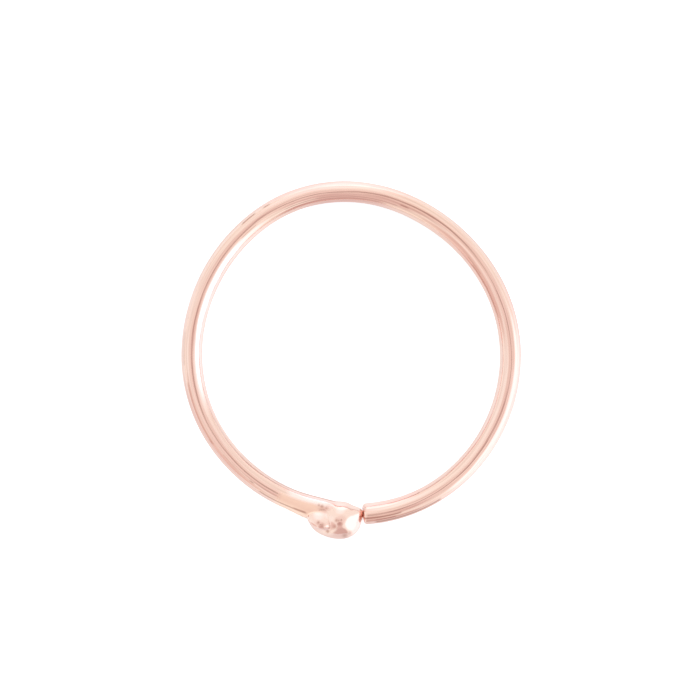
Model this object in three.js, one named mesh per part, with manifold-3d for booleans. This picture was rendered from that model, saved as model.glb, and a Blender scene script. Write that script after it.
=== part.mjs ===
// A small open hoop earring for a lobe or cartilage piercing, made from one length of polished
// rose gold-filled wire. One end carries a lump of solder-bright metal, a slightly uneven ball
// that is flush with the inside of the hoop and stands proud outside it. The other end is filed
// square, its rim is softened, and it springs back until it almost touches the ball. The wearer
// opens the hoop by twisting the wire sideways, so it is one solid with no joint.
//
// Millimetres, +Z up. The hoop lies on its side on z = 0, as it rests on a table: it stands on
// the underside of the ball and on the far side of the wire. The ball is towards -Y. The origin
// is under the middle of its box. Angles go round the hoop from +X towards +Y, in degrees.

import * as THREE from "three";
import { mergeVertices } from "three/addons/utils/BufferGeometryUtils.js";
import Module from "manifold-3d";

// The wire is 20 gauge, and the hoop is measured to the middle of the wire.
const WIRE_DIAMETER = 0.81;
const HOOP_DIAMETER = 12.24;
const CUT_END = -85.6;
const CUT_RIM_RADIUS = 0.12;

// Bending by hand leaves the hoop a little out of round. Each wave adds
// size * cos(lobes * (angle - peak)) to its radius.
const WAVES = [
  { lobes: 2, size: 0.078, peak: 122.4 },
  { lobes: 3, size: 0.027, peak: -24.5 },
  { lobes: 4, size: 0.033, peak: 15.2 },
];

// The last of the wire was left straight: it eases out of the bend and runs on into the ball,
// at its nearest to the middle of the hoop where it faces STRAIGHT_FACING.
const BEND_EASES_FROM = 234;
const STRAIGHT_FACING = 256;
const STRAIGHT_DISTANCE = 6.03;
const WIRE_STOPS = 267;

// The ball: an ellipsoid, long in the wire's direction, with its middle outside the wire's.
const BALL_ANGLE = 264.9;
const BALL_DISTANCE = 6.4;
const BALL_LENGTH = 2.04;
const BALL_WIDTH = 1.47;
const BALL_DEPTH = 1.4;
const BALL_TURN = 2.4;

// What makes the ball uneven. Each lump or dent is centred on a direction out of the ball, is
// size times the ball's radius high, and fades over reach, a distance on a ball of radius 1.
const LUMPS = [
  { what: "shoulder over the wire", around: 180, above: 0, size: 0.083, reach: 0.3 },
  { what: "flat beside the shoulder", around: -138, above: 0, size: -0.079, reach: 0.35 },
  { what: "outermost crown", around: -85, above: 0, size: 0.023, reach: 0.5 },
  { what: "flat facing the filed end", around: -8, above: 0, size: -0.06, reach: 0.35 },
  { what: "corner above that flat", around: 40, above: 0, size: 0.035, reach: 0.3 },
  { what: "flush inside of the hoop", around: 68, above: 0, size: -0.1, reach: 0.25 },
];

// How finely the curved surfaces are cut into flat faces.
const WIRE_SIDES = 20;
const WIRE_STEPS = 116;
const BALL_SIDES = 32;
const BALL_ROWS = 20;
const RIM_STEPS = 4;

const { degToRad, lerp, smoothstep } = THREE.MathUtils;
const wasm = await Module();
wasm.setup();

// ------------------------------------------------------------------ solids

function toSolid(geometry) {
  const bare = geometry.clone();
  bare.deleteAttribute("normal");
  bare.deleteAttribute("uv");
  const merged = mergeVertices(bare, 1e-5);
  return new wasm.Manifold(
    new wasm.Mesh({
      numProp: 3,
      vertProperties: new Float32Array(merged.attributes.position.array),
      triVerts: new Uint32Array(merged.index.array),
    }),
  );
}

function toGeometry(solid) {
  const mesh = solid.getMesh();
  const geometry = new THREE.BufferGeometry();
  geometry.setAttribute("position", new THREE.BufferAttribute(mesh.vertProperties, 3));
  geometry.setIndex(new THREE.BufferAttribute(mesh.triVerts, 1));
  geometry.computeVertexNormals();
  return geometry;
}

// ------------------------------------------------------------------- wire

// Distance from the middle of the hoop to the middle of the wire.
function hoopRadius(degrees) {
  let radius = HOOP_DIAMETER / 2;
  for (const { lobes, size, peak } of WAVES) {
    radius += size * Math.cos(lobes * degToRad(degrees - peak));
  }
  if (degrees <= BEND_EASES_FROM) {
    return radius;
  }
  const straight = STRAIGHT_DISTANCE / Math.cos(degToRad(degrees - STRAIGHT_FACING));
  return lerp(radius, straight, smoothstep(degrees, BEND_EASES_FROM, STRAIGHT_FACING));
}

function onHoop(degrees, radius = hoopRadius(degrees)) {
  const angle = degToRad(degrees);
  return new THREE.Vector3(radius * Math.cos(angle), radius * Math.sin(angle), 0);
}

// The middle of the wire, from the filed end round to the inside of the ball.
class WireLine extends THREE.Curve {
  getPoint(t) {
    return onHoop(lerp(CUT_END, WIRE_STOPS, t));
  }
}

function wireSolid(line) {
  const section = new THREE.Shape();
  section.absarc(0, 0, WIRE_DIAMETER / 2, 0, 2 * Math.PI);
  const swept = new THREE.ExtrudeGeometry(section, {
    steps: WIRE_STEPS,
    curveSegments: WIRE_SIDES / 2,
    extrudePath: line,
  });
  return toSolid(swept);
}

// A ring whose inner corner is hollowed, which softens the rim of the filed end.
function rimCutter(line) {
  const spare = WIRE_DIAMETER / 4;
  const rim = WIRE_DIAMETER / 2;
  const profile = new THREE.Path();
  profile.moveTo(rim + spare, -CUT_RIM_RADIUS);
  profile.lineTo(rim + spare, spare);
  profile.lineTo(rim - CUT_RIM_RADIUS, spare);
  profile.absarc(rim - CUT_RIM_RADIUS, -CUT_RIM_RADIUS, CUT_RIM_RADIUS, Math.PI / 2, 0, true);
  profile.closePath();
  const ring = new THREE.LatheGeometry(profile.getPoints(RIM_STEPS), WIRE_SIDES);
  const outwards = line.getTangent(0).negate();
  ring.applyQuaternion(
    new THREE.Quaternion().setFromUnitVectors(new THREE.Vector3(0, 1, 0), outwards),
  );
  ring.translate(...line.getPoint(0));
  return toSolid(ring);
}

// ------------------------------------------------------------------- ball

function addLumps(sphere) {
  const points = sphere.attributes.position;
  const point = new THREE.Vector3();
  const top = new THREE.Vector3();
  for (let i = 0; i < points.count; i += 1) {
    point.fromBufferAttribute(points, i);
    let radius = 1;
    for (const { around, above, size, reach } of LUMPS) {
      top.setFromSphericalCoords(1, degToRad(90 - above), degToRad(90 + around));
      top.set(top.x, -top.z, top.y);
      radius += size * Math.exp(-point.distanceToSquared(top) / reach ** 2);
    }
    points.setXYZ(i, ...point.multiplyScalar(radius));
  }
}

function ballSolid() {
  const ball = new THREE.SphereGeometry(1, BALL_SIDES, BALL_ROWS);
  ball.rotateZ(Math.PI / 2);
  addLumps(ball);
  ball.scale(BALL_LENGTH / 2, BALL_WIDTH / 2, BALL_DEPTH / 2);
  ball.rotateZ(degToRad(BALL_TURN));
  ball.translate(...onHoop(BALL_ANGLE, BALL_DISTANCE));
  return toSolid(ball);
}

// ------------------------------------------------------------------- hoop

const line = new WireLine();
const metal = wireSolid(line).subtract(rimCutter(line)).add(ballSolid());

const hoop = new THREE.Mesh(
  toGeometry(metal),
  new THREE.MeshStandardMaterial({ color: 0xe9b49c, roughness: 0.15, metalness: 1 }),
);
hoop.name = "ball_end_hoop";

// The ball is deeper than the wire, so the hoop lies on the two with the ball's side raised.
const across = BALL_DISTANCE + hoopRadius(BALL_ANGLE - 180);
const tilt = Math.asin((BALL_DEPTH - WIRE_DIAMETER) / 2 / across);
hoop.quaternion.setFromAxisAngle(onHoop(BALL_ANGLE - 90, 1), tilt);
const box = new THREE.Box3().setFromObject(hoop, true);
const middle = box.getCenter(new THREE.Vector3());
hoop.position.set(-middle.x, -middle.y, -box.min.z);

const earring = new THREE.Group();
earring.add(hoop);

export default earring;
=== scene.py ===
"""Dresses a small open hoop earring, made from one length of rose gold-filled wire.

Lengths are in millimetres until a mesh is placed, and the frame is in metres. Angles are in
degrees, and those round the hoop go from +X towards +Y.
"""

import math

import bpy
from mathutils import Matrix, Vector


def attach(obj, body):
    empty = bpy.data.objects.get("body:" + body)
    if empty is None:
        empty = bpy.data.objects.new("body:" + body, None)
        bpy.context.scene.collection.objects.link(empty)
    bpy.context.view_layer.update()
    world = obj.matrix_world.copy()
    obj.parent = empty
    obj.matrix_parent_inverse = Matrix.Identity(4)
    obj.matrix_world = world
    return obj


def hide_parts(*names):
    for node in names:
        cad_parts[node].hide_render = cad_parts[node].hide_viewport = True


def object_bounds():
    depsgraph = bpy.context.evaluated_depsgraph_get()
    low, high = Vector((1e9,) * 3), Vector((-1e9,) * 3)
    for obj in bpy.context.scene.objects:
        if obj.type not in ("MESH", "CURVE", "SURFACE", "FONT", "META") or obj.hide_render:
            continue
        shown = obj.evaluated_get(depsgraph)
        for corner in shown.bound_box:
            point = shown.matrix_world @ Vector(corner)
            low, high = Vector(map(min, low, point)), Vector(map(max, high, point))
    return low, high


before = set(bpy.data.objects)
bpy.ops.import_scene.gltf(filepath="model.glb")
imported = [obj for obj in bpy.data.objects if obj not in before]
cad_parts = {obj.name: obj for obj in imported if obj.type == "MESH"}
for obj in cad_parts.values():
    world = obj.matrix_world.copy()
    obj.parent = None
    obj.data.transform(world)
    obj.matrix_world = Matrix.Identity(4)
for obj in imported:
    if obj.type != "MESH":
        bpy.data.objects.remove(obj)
cad_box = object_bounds()

# ----------------------------------------------------------------- the hoop
# One length of 20 gauge rose gold-filled wire. One end carries an uneven ball of the same metal,
# melted on, flush with the inside of the hoop and proud outside it. The other end is filed
# square, its rim is softened, and it springs back to almost touch the ball.

MM = 0.001

# These are inputs of the node tree that makes the hoop.
SIZES = {
    "Wire diameter": 0.81,
    "Hoop diameter": 12.24,
    "Cut end": -85.75,
    "Filed length": 0.3,
    "Straight facing": 256.0,
    "Straight distance": 6.03,
    "Ball root": 266.0,
}


def set_input(tree, socket, value):
    """Links an input to what another node puts out, or gives it a plain value."""
    if isinstance(value, Number):
        value = value.socket
    if isinstance(value, bpy.types.NodeSocket):
        tree.links.new(value, socket)
    else:
        socket.default_value = value


def add_node(tree, kind, settings=None, **inputs):
    """A new node, its settings by name, and its inputs by their labels with _ for a space."""
    node = tree.nodes.new(kind)
    for name, value in (settings or {}).items():
        setattr(node, name, value)
    for name, value in inputs.items():
        set_input(tree, node.inputs[name.replace("_", " ")], value)
    return node


class Number:
    """A number at each point. Sums written with it become a node tree's Math nodes."""

    def __init__(self, tree, socket):
        self.tree = tree
        self.socket = socket

    def by(self, operation, *others):
        """What one more Math node makes of this number."""
        node = add_node(self.tree, "ShaderNodeMath", {"operation": operation})
        for socket, value in zip(node.inputs, (self, *others)):
            set_input(self.tree, socket, value)
        return Number(self.tree, node.outputs["Value"])

    def __add__(self, other):
        return self.by("ADD", other)

    def __sub__(self, other):
        return self.by("SUBTRACT", other)

    def __rsub__(self, other):
        return -self + other

    def __mul__(self, other):
        return self.by("MULTIPLY", other)

    def __truediv__(self, other):
        return self.by("DIVIDE", other)

    def __neg__(self):
        return self.by("MULTIPLY", -1)

    __radd__ = __add__
    __rmul__ = __mul__

    def squared(self):
        return self * self

    def sine(self):
        return self.by("SINE")

    def cosine(self):
        return self.by("COSINE")

    def radians(self):
        return self.by("RADIANS")

    def above(self, level):
        """1 above a level, and 0 elsewhere."""
        return self.by("GREATER_THAN", level)

    def within(self, low, high):
        """0 at low, 1 at high, and level beyond them."""
        return ((self - low) / (high - low)).by("MAXIMUM", 0).by("MINIMUM", 1)

    def eased(self):
        return self.squared() * (3 - 2 * self)

    def lasting(self, start, end, ends):
        """1 between start and end and 0 beyond them, with a slope this long inside each."""
        return self.within(start, start + ends) * (1 - self.within(end - ends, end))

    def fading_over(self, size):
        """From the square of a distance: 1 where that is 0, and fading as it grows past a size."""
        return (self * (-1 / size**2)).by("EXPONENT")


def highest(numbers):
    result, *others = numbers
    for other in others:
        result = result.by("MAXIMUM", other)
    return result


# Where the wire starts to straighten, and where the ball starts to stand out of it.
BEND_EASES_FROM = 234.0
BALL_STARTS = 248.0

# Bending by hand leaves the hoop a little out of round.
WAVES = [  # lobes, size, peak
    (2, 0.078, 122.4),
    (3, 0.027, -24.5),
    (4, 0.033, 15.2),
]
LINE_STEP = 0.25  # how far ahead and behind two points give the line's direction


def on_line(size, angle):
    """A point on the middle line of the wire: a wavy circle that eases into a straight end."""
    bent = size["Hoop diameter"] / 2
    for lobes, height, peak in WAVES:
        bent = bent + height * ((angle - peak) * lobes).radians().cosine()
    past = (angle - size["Straight facing"]).by("MAXIMUM", 0).radians()
    straight = size["Straight distance"] / past.cosine()
    share = angle.within(BEND_EASES_FROM, size["Straight facing"]).eased()
    radius = bent + (straight - bent) * share
    return radius * angle.radians().cosine(), radius * angle.radians().sine()


def line_direction(size, angle):
    """The way along that line, from two points on it, just ahead and just behind."""
    next_x, next_y = on_line(size, angle + LINE_STEP)
    last_x, last_y = on_line(size, angle - LINE_STEP)
    step_x, step_y = next_x - last_x, next_y - last_y
    step = (step_x.squared() + step_y.squared()).by("SQRT")
    return step_x / step, step_y / step


# The filed end is a rounded square in section, closed from a point this many degrees inside it.
END_INSET = 3.0
END_SQUARENESS = 6

# The section went a little oval as the wire bent, with its long way slanting up and outward.
# The lean is how much longer that is, as a share of the wire's radius.
LEANS = [  # angle, lean
    (-82, 0.080),
    (-57, 0.052),
    (-35, 0.045),
    (-12, 0.056),
    (17, 0.024),
    (32, 0.035),
    (58, 0.070),
    (77, 0.042),
    (95, -0.014),
    (110, -0.014),
    (125, 0.022),
    (155, 0.018),
    (185, 0.0),
    (228, 0.015),
    (246, 0.0),
]
LEAN_SWINGS = 0.04
LEAN_SWINGS_PER_DEGREE = 0.11

# The surface wavers a little as well, along the wire and round it.
WAVER = 0.024
WAVERS_PER_DEGREE = 0.045
WAVERS_ROUND = 0.7

# The melting thickened the wire's outer side towards the ball.
SWELLS = (246, 257)
SWELLING = 0.125


def vector(tree, *parts):
    node = add_node(tree, "ShaderNodeCombineXYZ")
    for part, socket in zip(parts, node.inputs):
        set_input(tree, socket, part)
    return node.outputs["Vector"]


def swing(tree, *place):
    """Smooth noise, as much above 0 as below it."""
    place = vector(tree, *place)
    noise = add_node(tree, "ShaderNodeTexNoise", Scale=1.0, Detail=1.0, Vector=place)
    return Number(tree, noise.outputs["Fac"]) - 0.5


def wire_reach(tree, size, angle, around, square, along):
    """How far the wire's own surface is from its middle line.

    The way out to it goes this much square to the wire and this much along it.
    """
    radius = size["Wire diameter"] / 2
    across = (square / radius).by("POWER", END_SQUARENESS)
    ends = (along.by("ABSOLUTE") / size["Filed length"]).by("POWER", END_SQUARENESS)
    reach = (across + ends).by("POWER", -1 / END_SQUARENESS)

    lean = swing(tree, angle * LEAN_SWINGS_PER_DEGREE, 0, 0) * LEAN_SWINGS + LEANS[0][1]
    for (start, before), (end, after) in zip(LEANS, LEANS[1:]):
        lean = lean + (after - before) * angle.within(start, end).eased()
    waver = swing(
        tree, angle * WAVERS_PER_DEGREE,
        around.cosine() * WAVERS_ROUND, around.sine() * WAVERS_ROUND,
    )
    reach = reach * (1 + lean * (around * 2).sine()) + waver * WAVER
    swelling = angle.within(*SWELLS).eased() * around.cosine().by("MAXIMUM", 0).squared()
    return reach + SWELLING * swelling


# Draw marks and tool marks sunk in the upper side: where they are along the hoop, how far out
# across the wire from its middle, or inward if less than 0, and how wide, both as shares of its
# radius.
# Each mark is also painted browner: a painted dark reflection, for the dark its sunk faces show.
MARKS = [  # from, to, across, width, strength
    (-84, -72, 0.42, 0.14, 0.9),
    (-82, -58, 0.80, 0.16, 0.9),
    (-82, -74, 0.62, 0.10, 0.5),
    (-50, -32, 0.12, 0.06, 0.3),
    (13, 36.5, -0.70, 0.13, 0.6),
    (31, 40, -0.55, 0.10, 0.4),
    (68, 72, -0.25, 0.14, 0.6),
    (72, 115, -0.45, 0.08, 0.4),
    (76, 112, -0.62, 0.07, 0.3),
    (118.2, 121.4, 0.68, 0.13, 0.8),
    (124, 130.5, 0.68, 0.12, 0.95),
    (126, 134, -0.26, 0.06, 0.6),
    (172, 184.6, 0.75, 0.26, 0.25),
    (190, 214, 0.57, 0.13, 0.4),
    (190.2, 192, 0.60, 0.10, 0.5),
    (211, 213.6, 0.62, 0.10, 0.6),
    (218, 234, 0.42, 0.07, 0.3),
    (231, 233.6, 0.42, 0.12, 0.7),
    (222, 240, 0.28, 0.05, 0.2),
    (236, 254.8, 0.70, 0.11, 0.85),
    (249, 254.4, 0.66, 0.13, 0.8),
    # These two along the inner rim are mostly painted shade: the shaded table under the raised
    # end, as the rim reflects it.
    (222, 241, -0.93, 0.08, 0.3),
    (238, 264, -0.93, 0.11, 0.55),
]
MARK_DEPTH = 0.004
MARK_ENDS = 0.9
MARK_FADES = (0.3, 1.3)  # from its middle, in halves of its width


def marks(angle, around):
    """How strongly each point is marked."""
    strengths = []
    for start, end, across, width, strength in MARKS:
        off = ((around.cosine() - across) / (width / 2)).by("ABSOLUTE")
        beside = (1 - off.within(*MARK_FADES)).eased()
        strengths.append(strength * angle.lasting(start, end, MARK_ENDS) * beside)
    return highest(strengths)


# The heat of melting the ball left the wire satin beside it, on its crest and outer side.
SATIN_STARTS = (241.0, 245.0)
SATIN_ENDS = (257.0, 261.0)
SATIN_SIDE = (-0.4, 0.0)  # across the wire, from where it has none to where it has all


def satin_part(angle, around):
    """How satin each point is, from 0 to 1."""
    along = angle.within(*SATIN_STARTS).eased() * (1 - angle.within(*SATIN_ENDS).eased())
    return along * around.cosine().within(*SATIN_SIDE)


# A painted highlight: along these stretches the inside of the hoop is painted paler than the rest.
PAINTED_HIGHLIGHT_STRETCHES = [  # from, to, eased over
    (130, 206, 14),
    (244, 263, 4),
]
PAINTED_HIGHLIGHT_FROM = (0.1, 0.35)  # across the wire, inward from its middle
PAINTED_HIGHLIGHT_TO = (0.64, 0.88)


def painted_highlight_part(angle, around):
    """How much of the painted highlight each point has, from 0 to 1."""
    inward = -around.cosine()
    along = highest([angle.lasting(*stretch).eased() for stretch in PAINTED_HIGHLIGHT_STRETCHES])
    across = inward.within(*PAINTED_HIGHLIGHT_FROM).eased()
    return along * across * (1 - inward.within(*PAINTED_HIGHLIGHT_TO).eased())


# The ball froze as lumps of metal running together. Each is an ellipsoid, placed from where the
# straight end of the wire starts: along it, out of it and up. Turn is as seen from above, roll
# is about its own length, and softness is how widely it runs into what is under it.
LUMPS = [  # name, along, out, up, length, width, depth, turn, roll, softness
    ("head", 1.20, 0.265, 0.0, 1.53, 1.42, 1.39, 0, 0, 0.20),
    ("shoulder", 0.68, 0.475, -0.04, 1.49, 1.04, 1.0, -24, 0, 0.30),
    ("fold", 0.44, 0.33, 0.21, 1.15, 1.12, 0.54, -10, 40, 0.13),
    ("nib", 1.56, -0.07, 0.0, 0.84, 0.62, 0.86, 0, 0, 0.18),
]

# Flats in a lump: a direction out of it, a height as a share of its radius there, less than 0
# because they are sunk, and how far on a ball of radius 1 they fade over.
FLATS = {
    "head": [  # bearing, above level, height, reach
        (-25, 45, -0.10, 0.45),
        (-90, 45, -0.05, 0.40),
    ],
}


def dot(a, b):
    return a[0] * b[0] + a[1] * b[1] + a[2] * b[2]


def direction(bearing, above):
    """A way out, by its angle from +X towards +Y and its angle above level."""
    bearing, above = math.radians(bearing), math.radians(above)
    return (
        math.cos(above) * math.cos(bearing),
        math.cos(above) * math.sin(bearing),
        math.sin(above),
    )


def straight_end(size):
    """The ways along the straight end of the wire and out of it."""
    facing = size["Straight facing"].radians()
    return (-facing.sine(), facing.cosine()), (facing.cosine(), facing.sine())


def in_lump(place, sizes, turn, roll):
    """A place or way, in the axes of a lump and as shares of its half sizes."""
    east, north, high = place
    turn, roll = math.radians(turn), math.radians(roll)
    forward = east * math.cos(turn) + north * math.sin(turn)
    aside = north * math.cos(turn) - east * math.sin(turn)
    level = aside * math.cos(roll) - high * math.sin(roll)
    rising = aside * math.sin(roll) + high * math.cos(roll)
    return [part / (side / 2) for part, side in zip((forward, level, rising), sizes)]


def flat(spot, bearing, above, height, fades):
    """How far a flat moves a spot on a ball of radius 1."""
    apart = [part - middle for part, middle in zip(spot, direction(bearing, above))]
    return height * dot(apart, apart).fading_over(fades)


def with_lumps(size, reach, line, way, on_ball):
    """The reach, pushed out to where the way out leaves each lump of the ball."""
    (along_x, along_y), (out_x, out_y) = straight_end(size)
    for name, along, out, up, *sizes, turn, roll, softness in LUMPS:
        from_middle = out + size["Straight distance"]
        lump_x = along * along_x + from_middle * out_x
        lump_y = along * along_y + from_middle * out_y
        start = in_lump((line[0] - lump_x, line[1] - lump_y, -up), sizes, turn, roll)
        going = in_lump(way, sizes, turn, roll)

        # The way out of a ball of radius 1 is the root of a quadratic.
        a, b, c = dot(going, going), dot(start, going), dot(start, start) - 1
        under_root = b.squared() - a * c
        leaves = (under_root.by("MAXIMUM", 0).by("SQRT") - b) / a
        meets = under_root.above(0) * on_ball * leaves.above(0)

        spot = [begun + leaves * gone for begun, gone in zip(start, going)]
        scaled = [part * (side / 2) ** 2 for part, side in zip(spot, sizes)]
        radius = dot(spot, scaled).by("SQRT")
        flats = sum(flat(spot, *row) for row in FLATS.get(name, ()))
        reach = reach.by("SMOOTH_MAX", (leaves + flats * radius) * meets, softness)
    return reach


# Pits left in the melted metal, placed on the ball's top as the lumps are.
# Each pit is also painted browner, a painted dark reflection.
PITS = [  # along, out, size, strength
    (0.36, 0.56, 0.055, 0.8),
    (0.52, 0.63, 0.07, 0.7),
    (0.79, 0.80, 0.06, 0.9),
    (1.02, 0.31, 0.06, 0.7),
    (1.09, 0.30, 0.05, 0.6),
    (1.15, 0.40, 0.07, 0.6),
    (0.99, 0.56, 0.08, 0.6),
    (0.22, -0.09, 0.05, 0.6),
    (0.34, -0.07, 0.07, 0.7),
    (0.52, -0.05, 0.05, 0.35),
    (1.62, 0.66, 0.07, 0.5),
    (1.46, 0.80, 0.10, 0.6),
]
PIT_DEPTH = 0.012


def pits(size, x, y):
    """How deep in a pit each point is, as a share of a pit's full depth."""
    (along_x, along_y), (out_x, out_y) = straight_end(size)
    x = x - size["Straight distance"] * out_x
    y = y - size["Straight distance"] * out_y
    along = x * along_x + y * along_y
    out = x * out_x + y * out_y
    strengths = []
    for pit_along, pit_out, across, strength in PITS:
        apart = (along - pit_along).squared() + (out - pit_out).squared()
        strengths.append(strength * apart.fading_over(across))
    return highest(strengths)


# Metal this far outside the wire's own surface has melted, from none of it to all.
MELTED = (0.01, 0.06)

# Rows of points along the hoop, and points round the wire.
END_ROWS = 24
WIRE_ROWS = 560
BALL_ROWS = 96
TIP_ROWS = 60
SIDES = 128

# Points this near each other are joined, which closes the surface along the wire and at its ends.
CLOSES_WITHIN = 1e-5


def stored(tree, mesh, name, value, kind="FLOAT", domain="POINT"):
    """The mesh with a value kept under a name."""
    node = add_node(
        tree, "GeometryNodeStoreNamedAttribute", {"data_type": kind, "domain": domain},
        Geometry=mesh, Name=name, Value=value,
    )
    return node.outputs["Geometry"]


def hoop_tree():
    tree = bpy.data.node_groups.new("ball_end_hoop", "GeometryNodeTree")
    for name in SIZES:
        tree.interface.new_socket(name, in_out="INPUT", socket_type="NodeSocketFloat")
    tree.interface.new_socket("Metal", in_out="INPUT", socket_type="NodeSocketMaterial")
    tree.interface.new_socket("Hoop", in_out="OUTPUT", socket_type="NodeSocketGeometry")
    given = add_node(tree, "NodeGroupInput")
    size = {name: Number(tree, given.outputs[name]) for name in SIZES}

    # Rows of points follow one another along the wire, and each goes once round it.
    ball_row = END_ROWS + WIRE_ROWS
    tip_row = ball_row + BALL_ROWS
    rows = tip_row + TIP_ROWS
    grid = add_node(
        tree, "GeometryNodeMeshGrid", Size_X=rows, Size_Y=math.tau,
        Vertices_X=rows + 1, Vertices_Y=SIDES + 1,
    )
    position = add_node(tree, "GeometryNodeInputPosition").outputs["Position"]
    place = add_node(tree, "ShaderNodeSeparateXYZ", Vector=position)
    row = Number(tree, place.outputs["X"]) + rows / 2
    around = Number(tree, place.outputs["Y"]) + math.pi
    first = size["Cut end"] + END_INSET
    angle = (
        first
        + row.within(END_ROWS, ball_row) * (BALL_STARTS - first)
        + row.within(ball_row, tip_row) * (size["Ball root"] - BALL_STARTS)
    )

    # The way out of the wire from its middle is square to it, and swings round to lie along it
    # in the rows that close its two ends.
    turned = (row.within(tip_row, rows) - 1 + row.within(0, END_ROWS)) * (math.pi / 2)
    square, along = turned.cosine(), turned.sine()
    out, up = square * around.cosine(), square * around.sine()
    line_x, line_y = on_line(size, angle)
    on_x, on_y = line_direction(size, angle)
    way_x = out * on_y + along * on_x
    way_y = along * on_y - out * on_x

    # The surface is this far out on that way: at the marked wire, or outside it at the ball.
    # The marks sink the wire, and the same strength paints them browner, as a painted dark
    # reflection.
    dents_and_painted_shade = marks(angle, around) * up.above(0)
    bare = wire_reach(tree, size, angle, around, square, along) - dents_and_painted_shade * MARK_DEPTH
    on_ball = angle.above(BALL_STARTS)
    reach = with_lumps(size, bare, (line_x, line_y), (way_x, way_y, up), on_ball)
    melted = (reach - bare).within(*MELTED)
    pitted = pits(size, line_x + reach * way_x, line_y + reach * way_y) * up.above(0) * on_ball
    reach = reach - pitted * PIT_DEPTH

    # What the metal's finish needs, with its painted highlight and painted dark reflection, is
    # stored while the points still lie in the grid, and with it the place of each on the wire
    # while that was straight.
    unbent = angle.radians() * (size["Hoop diameter"] / 2) + reach * along
    straight_wire = vector(tree, unbent, reach * out, reach * up)
    mesh = stored(tree, grid.outputs["Mesh"], "straight_wire", straight_wire, "FLOAT_VECTOR")
    # Marks and pits, to be painted browner as a painted dark reflection.
    mesh = stored(tree, mesh, "dents_and_painted_shade", highest([dents_and_painted_shade, pitted]))
    mesh = stored(tree, mesh, "melted", melted)
    mesh = stored(tree, mesh, "satin", satin_part(angle, around) * (1 - melted))
    # The painted highlight: where the inside of the hoop is painted paler.
    mesh = stored(tree, mesh, "painted_highlight", painted_highlight_part(angle, around) * (1 - melted))
    mesh = stored(tree, mesh, "UVMap", grid.outputs["UV Map"], "FLOAT2", "CORNER")

    surface = vector(tree, line_x + reach * way_x, line_y + reach * way_y, reach * up)
    for kind, inputs in (
        ("GeometryNodeSetPosition", {"Position": surface}),
        ("GeometryNodeMergeByDistance", {"Distance": CLOSES_WITHIN}),
        ("GeometryNodeSetShadeSmooth", {}),
        ("GeometryNodeRealizeInstances", {}),
        ("GeometryNodeSetMaterial", {"Material": given.outputs["Metal"]}),
    ):
        mesh = add_node(tree, kind, Geometry=mesh, **inputs).outputs["Geometry"]
    add_node(tree, "NodeGroupOutput", Hoop=mesh)
    return tree


# The gold is bright from polishing, pinker and warmer in patches, with faint lines along it
# from the die that drew the wire. Those run out where the ball was melted. Marks and pits are
# painted browner, a painted dark reflection; the heated part is satin; and the inside is painted
# paler in places, a painted highlight.
ROSE_GOLD = (0.86, 0.585, 0.545, 1)
WARM_GOLD = (0.90, 0.625, 0.52, 1)
DEEP_GOLD = (0.74, 0.44, 0.385, 1)
# Colour of the painted dark reflection in marks and pits.
PAINTED_SHADE_GOLD = (0.50, 0.25, 0.20, 1)
SATIN_GOLD = (0.97, 0.68, 0.56, 1)
# Colour of the painted highlight on the inside of the hoop.
PAINTED_HIGHLIGHT_GOLD = (0.93, 0.70, 0.665, 1)
POLISH = 0.07
DULLER = 0.16
SATIN = 0.36
NOISES = {  # drawn out along the wire, grains to a millimetre, detail
    "patches": (3, 0.7, 2.0),
    "draw lines": (40, 12, 3.0),
    "dulling": (30, 9, 2.0),
}
STREAKS = (0.40, 0.68)  # from where in the noise they start to where they are full
STREAKS_DEEPEN = 0.7
DULLS = (0.35, 0.7)  # the same for the duller parts
LINE_DEPTH = 0.005


def mixed(tree, share, first, second, kind="RGBA"):
    """From the first colour to the second, or with FLOAT from one number to the other."""
    node = add_node(tree, "ShaderNodeMix", {"data_type": kind}, Factor=share)
    sockets = {socket.identifier: socket for socket in (*node.inputs, *node.outputs)}
    ending = {"RGBA": "_Color", "FLOAT": "_Float"}[kind]
    set_input(tree, sockets["A" + ending], first)
    set_input(tree, sockets["B" + ending], second)
    return sockets["Result" + ending]


def ranged(tree, value, before, after, kind="LINEAR"):
    """A value moved from one range to another, and level beyond them."""
    node = add_node(
        tree, "ShaderNodeMapRange", {"interpolation_type": kind}, Value=value,
        From_Min=before[0], From_Max=before[1], To_Min=after[0], To_Max=after[1],
    )
    return node.outputs["Result"]


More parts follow.
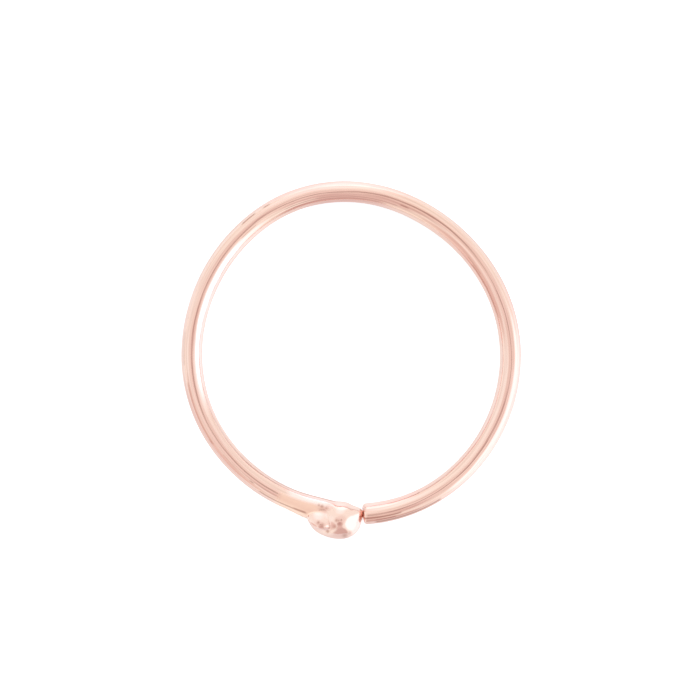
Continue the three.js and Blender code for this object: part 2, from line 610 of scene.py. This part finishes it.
def make_metal():
    metal = bpy.data.materials.new("polished_rose_gold")
    metal.use_nodes = True
    tree = metal.node_tree
    shader = tree.nodes["Principled BSDF"]

    def on_hoop(name, output="Fac"):
        node = add_node(tree, "ShaderNodeAttribute", {"attribute_name": name})
        return node.outputs[output]

    straight_wire = on_hoop("straight_wire", "Vector")

    def noise(name):
        """Noise on the wire as it was before it was bent, drawn out along it."""
        stretch, scale, detail = NOISES[name]
        laid = add_node(tree, "ShaderNodeMapping", Vector=straight_wire, Scale=(1 / stretch, 1, 1))
        made = add_node(
            tree, "ShaderNodeTexNoise", Vector=laid.outputs["Vector"], Scale=scale, Detail=detail,
        )
        return made.outputs["Fac"]

    draw_lines = noise("draw lines")
    satin = on_hoop("satin")
    unmelted = ranged(tree, on_hoop("melted"), (0, 1), (1, 0))
    streaks = ranged(tree, draw_lines, STREAKS, (0, STREAKS_DEEPEN))

    gold = mixed(tree, noise("patches"), ROSE_GOLD, WARM_GOLD)
    gold = mixed(tree, Number(tree, streaks) * Number(tree, unmelted), gold, DEEP_GOLD)
    gold = mixed(tree, satin, gold, SATIN_GOLD)
    # A painted highlight: the inside of the hoop is painted paler along some stretches.
    gold = mixed(tree, on_hoop("painted_highlight"), gold, PAINTED_HIGHLIGHT_GOLD)
    # Painted dark reflection: marks and pits are painted browner.
    gold = mixed(tree, on_hoop("dents_and_painted_shade"), gold, PAINTED_SHADE_GOLD)
    set_input(tree, shader.inputs["Base Color"], gold)

    polish = ranged(tree, noise("dulling"), DULLS, (POLISH, DULLER))
    set_input(tree, shader.inputs["Roughness"], mixed(tree, satin, polish, SATIN, "FLOAT"))

    lines = add_node(
        tree, "ShaderNodeBump", Height=draw_lines, Distance=-LINE_DEPTH * MM, Strength=unmelted,
    )
    set_input(tree, shader.inputs["Normal"], lines.outputs["Normal"])
    shader.inputs["Metallic"].default_value = 1
    return metal


def add_object(name, data):
    made = bpy.data.objects.new(name, data)
    bpy.context.scene.collection.objects.link(made)
    return made


def grown(name, tree, values):
    """The plain mesh object that a node tree makes."""
    seed = add_object(name + "_seed", bpy.data.meshes.new(name + "_seed"))
    modifier = seed.modifiers.new("shape", "NODES")
    modifier.node_group = tree
    for item in tree.interface.items_tree:
        if item.name in values:
            modifier[item.identifier] = values[item.name]
    evaluated = seed.evaluated_get(bpy.context.evaluated_depsgraph_get())
    mesh = bpy.data.meshes.new_from_object(evaluated)
    mesh.name = name
    bpy.data.objects.remove(seed)
    return add_object(name, mesh)


# The ball is deeper than the wire, so the hoop lies tilted: on the ball, whose lowest point is
# this far from the middle of the hoop and this way round it, and on the far side of its wire.
BALL_DEPTH = 1.4
BALL_DISTANCE = 6.4
BALL_FACING = 264.9


def lie_down(piece):
    """Lays the hoop down where the frame has it, in metres."""
    rise = (BALL_DEPTH - SIZES["Wire diameter"]) / 2
    tilt = math.asin(rise / (BALL_DISTANCE + SIZES["Hoop diameter"] / 2))
    axis = Vector(direction(BALL_FACING - 90, 0))
    piece.data.transform(Matrix.Rotation(tilt, 4, axis) @ Matrix.Scale(MM, 4))
    corners = [Vector(corner) for corner in piece.bound_box]
    low = Vector(map(min, *corners))
    high = Vector(map(max, *corners))
    cad_low, cad_high = cad_box
    move = (cad_low + cad_high) / 2 - (low + high) / 2
    move.z = cad_low.z - low.z
    piece.data.transform(Matrix.Translation(move))


hoop = grown("rose_gold_hoop", hoop_tree(), {**SIZES, "Metal": make_metal()})
lie_down(hoop)
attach(hoop, "root")
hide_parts("ball_end_hoop")

# ---------------------------------------------------------------- the table
# A plain white table with a hard smooth finish, which the hoop lies on. It is lit so well that
# it shows white all over, and the metal above it takes only part of that light.

TABLE_SIZE = 4.0
TABLE_WHITE = (0.76, 0.89, 0.97, 1)
TABLE_GLOW = 0.5
GLOW_ON_METAL = 0.14
TABLE_ROUGHNESS = 0.3
TABLE_IOR = 8.0


def make_table_paint():
    paint = bpy.data.materials.new("white_table")
    paint.use_nodes = True
    tree = paint.node_tree
    shader = tree.nodes["Principled BSDF"]
    shader.inputs["Base Color"].default_value = TABLE_WHITE
    shader.inputs["Roughness"].default_value = TABLE_ROUGHNESS
    shader.inputs["IOR"].default_value = TABLE_IOR
    shader.inputs["Emission Color"].default_value = TABLE_WHITE
    seen = add_node(tree, "ShaderNodeLightPath").outputs["Is Camera Ray"]
    glow = ranged(tree, seen, (0, 1), (GLOW_ON_METAL, TABLE_GLOW))
    set_input(tree, shader.inputs["Emission Strength"], glow)
    return paint


def make_table():
    mesh = bpy.data.meshes.new("table")
    edge = TABLE_SIZE / 2
    corners = [(-edge, -edge, 0), (edge, -edge, 0), (edge, edge, 0), (-edge, edge, 0)]
    mesh.from_pydata(corners, [], [(0, 1, 2, 3)])
    mesh.materials.append(make_table_paint())
    return add_object("table", mesh)


table = make_table()

# ---------------------------------------------------------------- the light
# Soft light from all round, as in a white cloth tent: brightest from the right and from behind
# the hoop, and shaded where the opening of the tent and the lens above the table are.

TENT_WHITE = (1.12, 1.24, 1.19)
TENT = [  # azimuth from +X, angle from straight up, half width, soft edge, colour
    (0, 0, 8, 34, (1.04, 1.02, 0.98)),
    (96, 62, 4, 22, (1.55, 1.42, 1.44)),
    (89, 90, 12, 17, (1.9, 1.75, 1.84)),
    (172, 62, 8, 18, (1.15, 1.32, 1.30)),
    (212, 66, 16, 14, (0.96, 0.86, 0.82)),
    (263, 30, 9, 12, (0.82, 0.70, 0.67)),
    (265, 55, 10, 12, (0.86, 0.75, 0.72)),
    (276, 82, 16, 12, (0.76, 0.63, 0.61)),
    (342, 67, 25, 13, (1.80, 1.71, 1.82)),
    (0, 0, 3.5, 6, (0.62, 0.50, 0.46)),
]
BACKDROP = (1.2, 1.2, 1.2, 1)


def light_tent():
    world = bpy.data.worlds.new("light_tent")
    bpy.context.scene.world = world
    world.use_nodes = True
    tree = world.node_tree
    way = add_node(tree, "ShaderNodeTexCoord").outputs["Generated"]
    colour = (*TENT_WHITE, 1)
    for azimuth, down, width, edge, tint in TENT:
        near = add_node(tree, "ShaderNodeVectorMath", {"operation": "DOT_PRODUCT"})
        set_input(tree, near.inputs[0], way)
        set_input(tree, near.inputs[1], direction(azimuth, 90 - down))
        fades = [math.cos(math.radians(angle)) for angle in (width + edge, width)]
        share = ranged(tree, near.outputs["Value"], fades, (0, 1), "SMOOTHSTEP")
        colour = mixed(tree, share, colour, (*tint, 1))
    tent = tree.nodes["Background"]
    set_input(tree, tent.inputs["Color"], colour)

    # The tent isn't seen beyond the table, where the backdrop is plain white.
    backdrop = add_node(tree, "ShaderNodeBackground", Color=BACKDROP)
    seen = add_node(tree, "ShaderNodeLightPath").outputs["Is Camera Ray"]
    shown = add_node(tree, "ShaderNodeMixShader")
    for socket, value in zip(shown.inputs, (seen, tent.outputs[0], backdrop.outputs[0])):
        set_input(tree, socket, value)
    set_input(tree, tree.nodes["World Output"].inputs["Surface"], shown.outputs[0])


light_tent()
bpy.context.scene.view_settings.view_transform = "Standard"

# --------------------------------------------------------------- the camera
# Straight above the hoop, at arm's length, through a long lens. At the table the view is this
# wide, and it aims a little to one side of the middle of the hoop.

VIEW_WIDTH = 26.86
CAMERA_HEIGHT = 300.0
AIM = (-0.043, 0.383)
SENSOR = 36.0

camera = add_object("camera", bpy.data.cameras.new("camera"))
camera.data.sensor_width = SENSOR
camera.data.lens = SENSOR * CAMERA_HEIGHT / VIEW_WIDTH
camera.location = Vector((*AIM, CAMERA_HEIGHT)) * MM
bpy.context.scene.camera = camera
